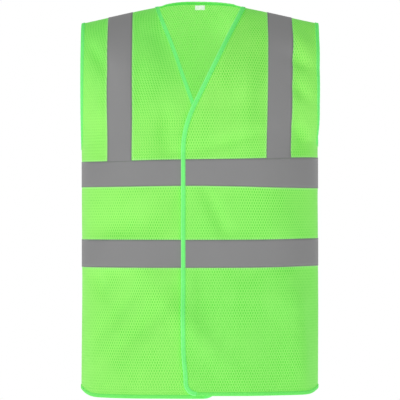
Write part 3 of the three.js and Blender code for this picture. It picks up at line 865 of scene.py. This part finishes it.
def bodyBand(level, low, front=None):  # round one front, or round the whole back
    rows = []
    for z in np.linspace(low, low + vest["tape"], tapeFit["rowsAcross"]):
        start = front["edge"] + tapeFit["start"] if front else 0.0
        row = rowAlong(wallOf(front), start, halfWidth, lambda x, z=z: z + x * 0, 90)
        rows.append(row if front else bothSides(row))
    base = np.array(rows)
    node = (front["body"] if front else "back") + "_" + level + "_band"
    thickness = tapeFit["thickness"]
    piece = layer(node, base, tapeFit["lift"] + thickness, materials["tape"], thickness,
                  front, tapeUv(base, vest["tape"]))
    mark(piece, "tapeEdgeShadeShown", bandEdgeShade(base))
    return settle(piece, front, node)


def braceBase(wall):
    low = upperTape + vest["tape"] - 0.004
    xs = vest["braceCentre"] + np.linspace(-1, 1, tapeFit["rowsAcross"]) * vest["braceHalf"]
    shares = np.sin(np.linspace(0, math.pi / 2, 70))
    return np.array([onWall(wall, np.full(len(shares), x), mix(low, ridgeHeight(x), shares)) for x in xs])


def braceTape(node, front=None, mirror=None):
    base = braceBase(wallOf(front))
    piece = layer(node, base, tapeFit["lift"] + tapeFit["brace"], materials["tape"], tapeFit["brace"],
                  front, tapeUv(base, vest["tape"]), mirror)
    mark(piece, "tapeEdgeShadeShown", np.ones(base.shape[:2]))
    return settle(piece, front, node)


tapes = {}
for front in (leftFront, rightFront):
    tapes[front["name"]] = [
        bodyBand("lower", lowerTape, front),
        bodyBand("upper", upperTape, front),
        braceTape(front["body"] + "_brace_tape", front),
    ]
tapes["back"] = [bodyBand("lower", lowerTape), bodyBand("upper", upperTape)]
for hand, side in ((1, "left"), (-1, "right")):
    tapes["back"].append(braceTape(side + "_back_brace_tape", None, hand))
print("tapes laid")

# Bindings: a tape folded over the raw edge
fold = {"width": 0.007, "narrow": 0.0058, "short": 0.0008, "outer": 0.00115, "flat": 0.0006,
        "under": -0.0012, "over": 0.0007, "thick": 0.0005}
puckers = ((0.00012, 0.011), (0.0001, 0.0037))  # rise and length of the ripples along a binding


def foldProfile(width, top):  # pairs of distance in from the edge, and lift
    outer = [(width * t, top) for t in (1, 0.8, 0.6, 0.4, 0.2, 0.06)]
    turn = []
    middle = (top + fold["under"]) / 2
    reach = (top - fold["under"]) / 2
    for k in range(1, 6):
        angle = math.pi * k / 6
        turn.append((-fold["over"] * math.sin(angle), middle + reach * math.cos(angle)))
    inner = [((width - fold["short"]) * t, fold["under"]) for t in (0.06, 0.3, 0.6, 0.8, 1)]
    return outer + turn + inner


def bindingPiece(node, line, front=None, mirror=None, width=fold["narrow"], top=fold["flat"],
                 material="binding"):
    edge, inward = line
    wall = wallOf(front)
    edge, inward = handed(edge, front, mirror), handed(inward, front, mirror)
    run = lengths(edge)
    layers, normals, uv = [], [], []
    ripple = sum(rise * np.sin(run * 2 * math.pi / length) for rise, length in puckers)
    across = 0
    last = None
    for reach, lift in foldProfile(width, top):
        base = edge + inward * max(reach, 0.0)
        base = ontoWall(wall, base) if reach > 0.0005 else base
        rise = lift + (ripple if lift > 0 else 0)
        points = hung(wall, base, np.zeros(len(edge)) + rise, front)
        if reach < 0:
            points = points + inward * reach
        layers.append(points)
        normals.append(wallNormal(wall, base) * (1 if lift > (top + fold["under"]) / 2 else -1))
        if last is not None:
            across += math.hypot(reach - last[0], lift - last[1])
        last = (reach, lift)
        uv.append(np.stack([run, np.full(len(run), across)], -1))
    piece = bentGrid(pieceName(node), np.array(layers), np.array(uv), materials[material],
                     np.array(normals), fold["thick"], 0)
    return settle(piece, front, node)


def inwardOn(wall, edge, hint):  # square to the edge, in the cloth, towards hint
    normal = wallNormal(wall, edge)
    way = unit(np.cross(normal, unit(np.gradient(edge, axis=0))))
    return way * np.sign(np.sum(way * hint, -1))[:, None]


def frontEdgeLine(front, count=420):
    path = frontPath(front, count)
    edge = onWall(frontWall, path[:, 0], path[:, 1])
    hint = np.tile([1.0, 0.0, 0.4], (count, 1))
    return edge, inwardOn(frontWall, edge, hint)


def frontHemLine(front, count=200):
    start = front["edge"] + vest["corner"]
    side = float(sideHeight(0.0))
    edge = rowAlong(frontWall, start, halfWidth, sideLevel(front["hem"], side), count)
    return edge, inwardOn(frontWall, edge, np.tile([0.0, 0.0, 1.0], (count, 1)))


def backHemLine(count=200):
    side = float(sideHeight(0.0))
    edge = bothSides(rowAlong(backWall, 0.0, halfWidth, sideLevel(0.0, side), count))
    return edge, inwardOn(backWall, edge, np.tile([0.0, 0.0, 1.0], (len(edge), 1)))


def armholeLine(wall, count=160):
    turn = np.linspace(0, math.pi, count)
    z = armBottom + vest["armholeDepth"] / 2 * (1 - np.cos(turn))
    edge = np.stack([np.full(count, halfWidth), wall["side"] * wall["armhole"] * np.sin(turn), z], -1)
    along = np.stack([0 * turn, wall["side"] * wall["armhole"] * np.cos(turn),
                      vest["armholeDepth"] / 2 * np.sin(turn)], -1)
    way = unit(np.cross(wallNormal(wall, edge), along))
    middle = np.array([0.0, wall["side"] * 0.2, armBottom])
    return edge, way * np.sign(np.sum(way * (middle - edge), -1))[:, None]


def neckLine(count=160):
    share = np.linspace(-1, 1, count)
    x = vest["neckHalf"] * share
    edge = onWall(backWall, x, np.minimum(neckline(x), ridgeHeight(x)))
    return edge, inwardOn(backWall, edge, np.stack([share * 0.8, 0 * share + 1.0, 0 * share], -1))


edges = {}
for front in (leftFront, rightFront):
    side = front["body"]
    edges[side] = [frontEdgeLine(front), frontHemLine(front), armholeLine(frontWall)]
    edgeWidth = fold["narrow" if front["tucked"] else "width"]
    bindingPiece(side + "_edge_binding", edges[side][0], front, None, edgeWidth, fold["outer"])
    bindingPiece(side + "_hem_binding", edges[side][1], front, material="hemBinding")
    bindingPiece(side + "_armhole_binding", edges[side][2], front)
bindingPiece("back_hem_binding", backHemLine(), material="hemBinding")
bindingPiece("back_neck_binding", neckLine(), width=fold["width"], material="hemBinding")
for hand, side in ((1, "left"), (-1, "right")):
    bindingPiece(side + "_back_armhole_binding", armholeLine(backWall), None, hand)
print("bindings folded over the edges")

# Hook and loop patches, between the lapped fronts
patch = {"width": 0.025, "height": 0.060, "thickness": 0.0011, "centre": -0.004, "clear": 0.0001}


def fastenerPatch(node, slot, low, front, lift):
    left = patch["centre"] - patch["width"] / 2
    xs = np.linspace(left, left + patch["width"], 12) * (1 if front is leftFront else -1)
    levels = np.linspace(low, low + patch["height"], 24)
    points = np.array([onWall(frontWall, xs, np.full(12, z)) for z in levels])
    placed = hung(frontWall, handed(points, front), np.full(points.shape[:-1], lift), front)
    uv = np.stack(np.meshgrid(np.linspace(0, patch["width"], 12), np.linspace(0, patch["height"], 24)), -1)
    normals = wallNormal(frontWall, points)
    piece = bentGrid(pieceName(node), placed, uv, materials[slot], normals, patch["thickness"])
    return settle(piece, front, node)


patchBases = {"lower": (lowerTape - patch["height"]) / 2,
              "upper": (lowerTape + vest["tape"] + upperTape - patch["height"]) / 2}
for level, low in patchBases.items():
    fastenerPatch(level + "_hook_patch", "hook", low, leftFront, -vest["cloth"] - patch["clear"])
    fastenerPatch(level + "_loop_patch", "loop", low, rightFront, patch["clear"] + patch["thickness"])
print("fasteners sewn in")

# Neck label: a folded satin label that hangs from the neck binding
labelLow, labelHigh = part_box("neck_label")
labelFold, labelCurl = 0.0005, 0.0009


def neckLabel():
    xs = np.linspace(labelLow.x, labelHigh.x, 14)
    profile = []
    height = labelHigh.z - labelLow.z
    y = (labelLow.y + labelHigh.y) / 2
    for t in np.linspace(0, 1, 12):
        profile.append((y - labelFold, labelHigh.z - height * t))
    for k in range(1, 5):
        angle = math.pi * k / 5
        profile.append((y - labelFold * math.cos(angle), labelLow.z - 0.8 * labelFold * math.sin(angle)))
    for t in np.linspace(1, 0, 12):
        profile.append((y + labelFold, labelHigh.z - height * t))
    curl = labelCurl * np.sin(xs / labelHigh.x * 1.4 + 1.2) / height
    points = np.array([[(x, py - bend * (labelHigh.z - pz), pz) for x, bend in zip(xs, curl)]
                       for py, pz in profile])
    outward = np.array([[(0, -1 if k < 14 else 1, 0) for x in xs] for k in range(len(profile))], float)
    run = np.linspace(0, 2 * height, len(profile))
    uv = np.array([[(x, r) for x in xs] for r in run])
    piece = bentGrid("neckLabel", points, uv, materials["label"], outward, 0.00022)
    settle(piece, None, "neck_label", "neck_label")


neckLabel()

# Stitches: short threads in rows beside the edges of the tapes and on the bindings, and one dark row on the
# neck binding that is painted shade
stitch = {"pitch": 0.0034, "length": 0.0025, "width": 0.00045, "height": 0.0003,
          "inset": 0.0016, "fromFold": 0.0011, "clear": 0.001, "neckGreen": 0.0065, "neckDark": 0.0031}
tapeLift = tapeFit["lift"] + tapeFit["thickness"] + 0.0001
edgeLift = fold["outer"] + fold["thick"] / 2 + 0.00005
flatLift = fold["flat"] + fold["thick"] / 2 + 0.00005
underLift = fold["under"] - fold["thick"] / 2 - 0.00005


def stitchesAlong(bm, points, normals):
    run = lengths(points)
    marks = np.arange(stitch["pitch"], run[-1] - stitch["pitch"] / 2, stitch["pitch"])
    for mark in marks:
        spot = [np.interp(mark, run, points[:, k]) for k in range(3)]
        ahead = [np.interp(mark + 0.001, run, points[:, k]) for k in range(3)]
        up = Vector([np.interp(mark, run, normals[:, k]) for k in range(3)]).normalized()
        along = (Vector(ahead) - Vector(spot)).normalized()
        across = up.cross(along).normalized()
        turn = Matrix((along, across, along.cross(across))).transposed().to_4x4()
        size = Matrix.Diagonal((stitch["length"], stitch["width"], stitch["height"], 1))
        bmesh.ops.create_cube(bm, size=1, matrix=Matrix.Translation(spot) @ turn @ size)


def stitchPiece(name, rows, material, front=None):
    bm = bmesh.new()
    for points, normals in rows:
        stitchesAlong(bm, points, normals)
    settle(pieceFrom(bm, name, material), front)


def stitchRow(base, lift, front=None, mirror=None):
    base = handed(base, front, mirror)
    return hung(wallOf(front), base, np.full(len(base), lift), front), wallNormal(wallOf(front), base)


def bandStitchRows(start, front=None):
    rows = []
    for low in (lowerTape, upperTape):
        for z in (low + stitch["inset"], low + vest["tape"] - stitch["inset"]):
            row = rowAlong(wallOf(front), start, halfWidth, lambda x, z=z: z + x * 0, 200)
            rows.append(stitchRow(row if front else bothSides(row), tapeLift, front))
    return rows


def braceStitchRows(front=None, mirror=None):
    base = braceBase(wallOf(front))
    return [stitchRow(ontoWall(wallOf(front), mix(base[a], base[b], 0.35)), tapeLift, front, mirror)
            for a, b in ((0, 1), (-1, -2))]


def edgeStitchRow(line, front=None, mirror=None, width=fold["narrow"], lift=flatLift):
    edge, inward = line
    base = ontoWall(wallOf(front), edge + inward * (width - stitch["fromFold"]))
    return stitchRow(base, lift, front, mirror)


for front in (leftFront, rightFront):
    grey = bandStitchRows(front["edge"] + fold["width"] + stitch["clear"], front) + braceStitchRows(front)
    stitchPiece(front["name"] + "TapeStitches", grey, materials["greyThread"], front)
    green = [edgeStitchRow(line, front) for line in edges[front["body"]][1:]]
    edgeWidth = fold["narrow" if front["tucked"] else "width"]
    green.append(edgeStitchRow(edges[front["body"]][0], front, None, edgeWidth, edgeLift))
    stitchPiece(front["name"] + "EdgeStitches", green, materials["greenThread"], front)
grey = bandStitchRows(0.0) + braceStitchRows(None, 1) + braceStitchRows(None, -1)
stitchPiece("backTapeStitches", grey, materials["greyThread"])
green = [edgeStitchRow(backHemLine()), edgeStitchRow(neckLine())]
green += [edgeStitchRow(armholeLine(backWall), None, hand) for hand in (1, -1)]
green.append(edgeStitchRow(neckLine(), width=stitch["neckGreen"], lift=underLift))
stitchPiece("backEdgeStitches", green, materials["greenThread"])
# painted shade: a row of dark thread along the neck binding's inner leg stands for the shade line under its
# fold
dark = [edgeStitchRow(neckLine(), width=stitch["neckDark"], lift=underLift)]
stitchPiece("neckShadeLineStitches", dark, materials["shadeLineThread"])
print("stitches set")

# ---- floor, light and camera ----

studio = {"cameraDistance": 6.0, "cameraHeight": 0.3536, "viewHeight": 0.728, "sensor": 36.0,
          "floorDrop": 0.75, "floorSize": 14.0}


def makeFloor():
    bm = bmesh.new()
    bmesh.ops.create_grid(bm, x_segments=1, y_segments=1, size=studio["floorSize"] / 2)
    bmesh.ops.translate(bm, verts=bm.verts[:], vec=(0, 0, -seatHeight - studio["floorDrop"]))
    material, tree, shader = startMaterial("paleFloor")
    shader.inputs["Base Color"].default_value = (0.9, 0.9, 0.9, 1)
    shader.inputs["Roughness"].default_value = 0.9
    shader.inputs["Emission Color"].default_value = (1, 1, 1, 1)
    shader.inputs["Emission Strength"].default_value = 0.75
    pieceFrom(bm, "studioFloor", material)


def makeWorld():
    world = bpy.data.worlds.new("softStudio")
    bpy.context.scene.world = world
    world.use_nodes = True
    tree = world.node_tree
    tree.nodes.clear()
    seen = addNode(tree, "ShaderNodeBackground")
    seen.inputs["Color"].default_value = (1, 1, 1, 1)
    seen.inputs["Strength"].default_value = 1.0
    lit = addNode(tree, "ShaderNodeBackground")
    lit.inputs["Color"].default_value = (1, 1, 1, 1)
    lit.inputs["Strength"].default_value = 0.24
    path = addNode(tree, "ShaderNodeLightPath")
    choose = addNode(tree, "ShaderNodeMixShader")
    out = addNode(tree, "ShaderNodeOutputWorld")
    tree.links.new(path.outputs["Is Camera Ray"], choose.inputs[0])
    tree.links.new(lit.outputs[0], choose.inputs[1])
    tree.links.new(seen.outputs[0], choose.inputs[2])
    tree.links.new(choose.outputs[0], out.inputs[0])


lights = {
    "keyLight": {"at": (-3.2, -2.7, 1.7), "size": 1.1, "power": 62},
    "frontLight": {"at": (0.7, -5.0, 1.5), "size": 1.6, "power": 34},
    "fillLight": {"at": (3.2, -3.0, 2.0), "size": 2.6, "power": 10.5},
    "backLeft": {"at": (-2.4, 3.2, 1.2), "size": 2.2, "power": 30},
    "backRight": {"at": (2.4, 3.2, 1.0), "size": 2.2, "power": 24},
}


def makeLights():
    aim = Vector((0, 0, -0.34))
    for name, setting in lights.items():
        data = bpy.data.lights.new(name, "AREA")
        data.shape = "SQUARE"
        data.size = setting["size"]
        data.energy = setting["power"]
        lamp = bpy.data.objects.new(name, data)
        lamp.location = setting["at"]
        lamp.rotation_mode = "QUATERNION"
        lamp.rotation_quaternion = (aim - Vector(setting["at"])).to_track_quat("-Z", "Y")
        lamp.visible_camera = False
        bpy.context.scene.collection.objects.link(lamp)


def makeCamera():
    data = bpy.data.cameras.new("camera")
    data.sensor_width = studio["sensor"]
    data.lens = studio["sensor"] * studio["cameraDistance"] / studio["viewHeight"]
    camera = bpy.data.objects.new("camera", data)
    camera.location = (0, -studio["cameraDistance"], studio["cameraHeight"] - seatHeight)
    camera.rotation_euler = (math.pi / 2, 0, 0)
    bpy.context.scene.collection.objects.link(camera)
    bpy.context.scene.camera = camera


makeFloor()
makeWorld()
makeLights()
makeCamera()
bpy.context.scene.view_settings.view_transform = "Standard"
print("studio ready")
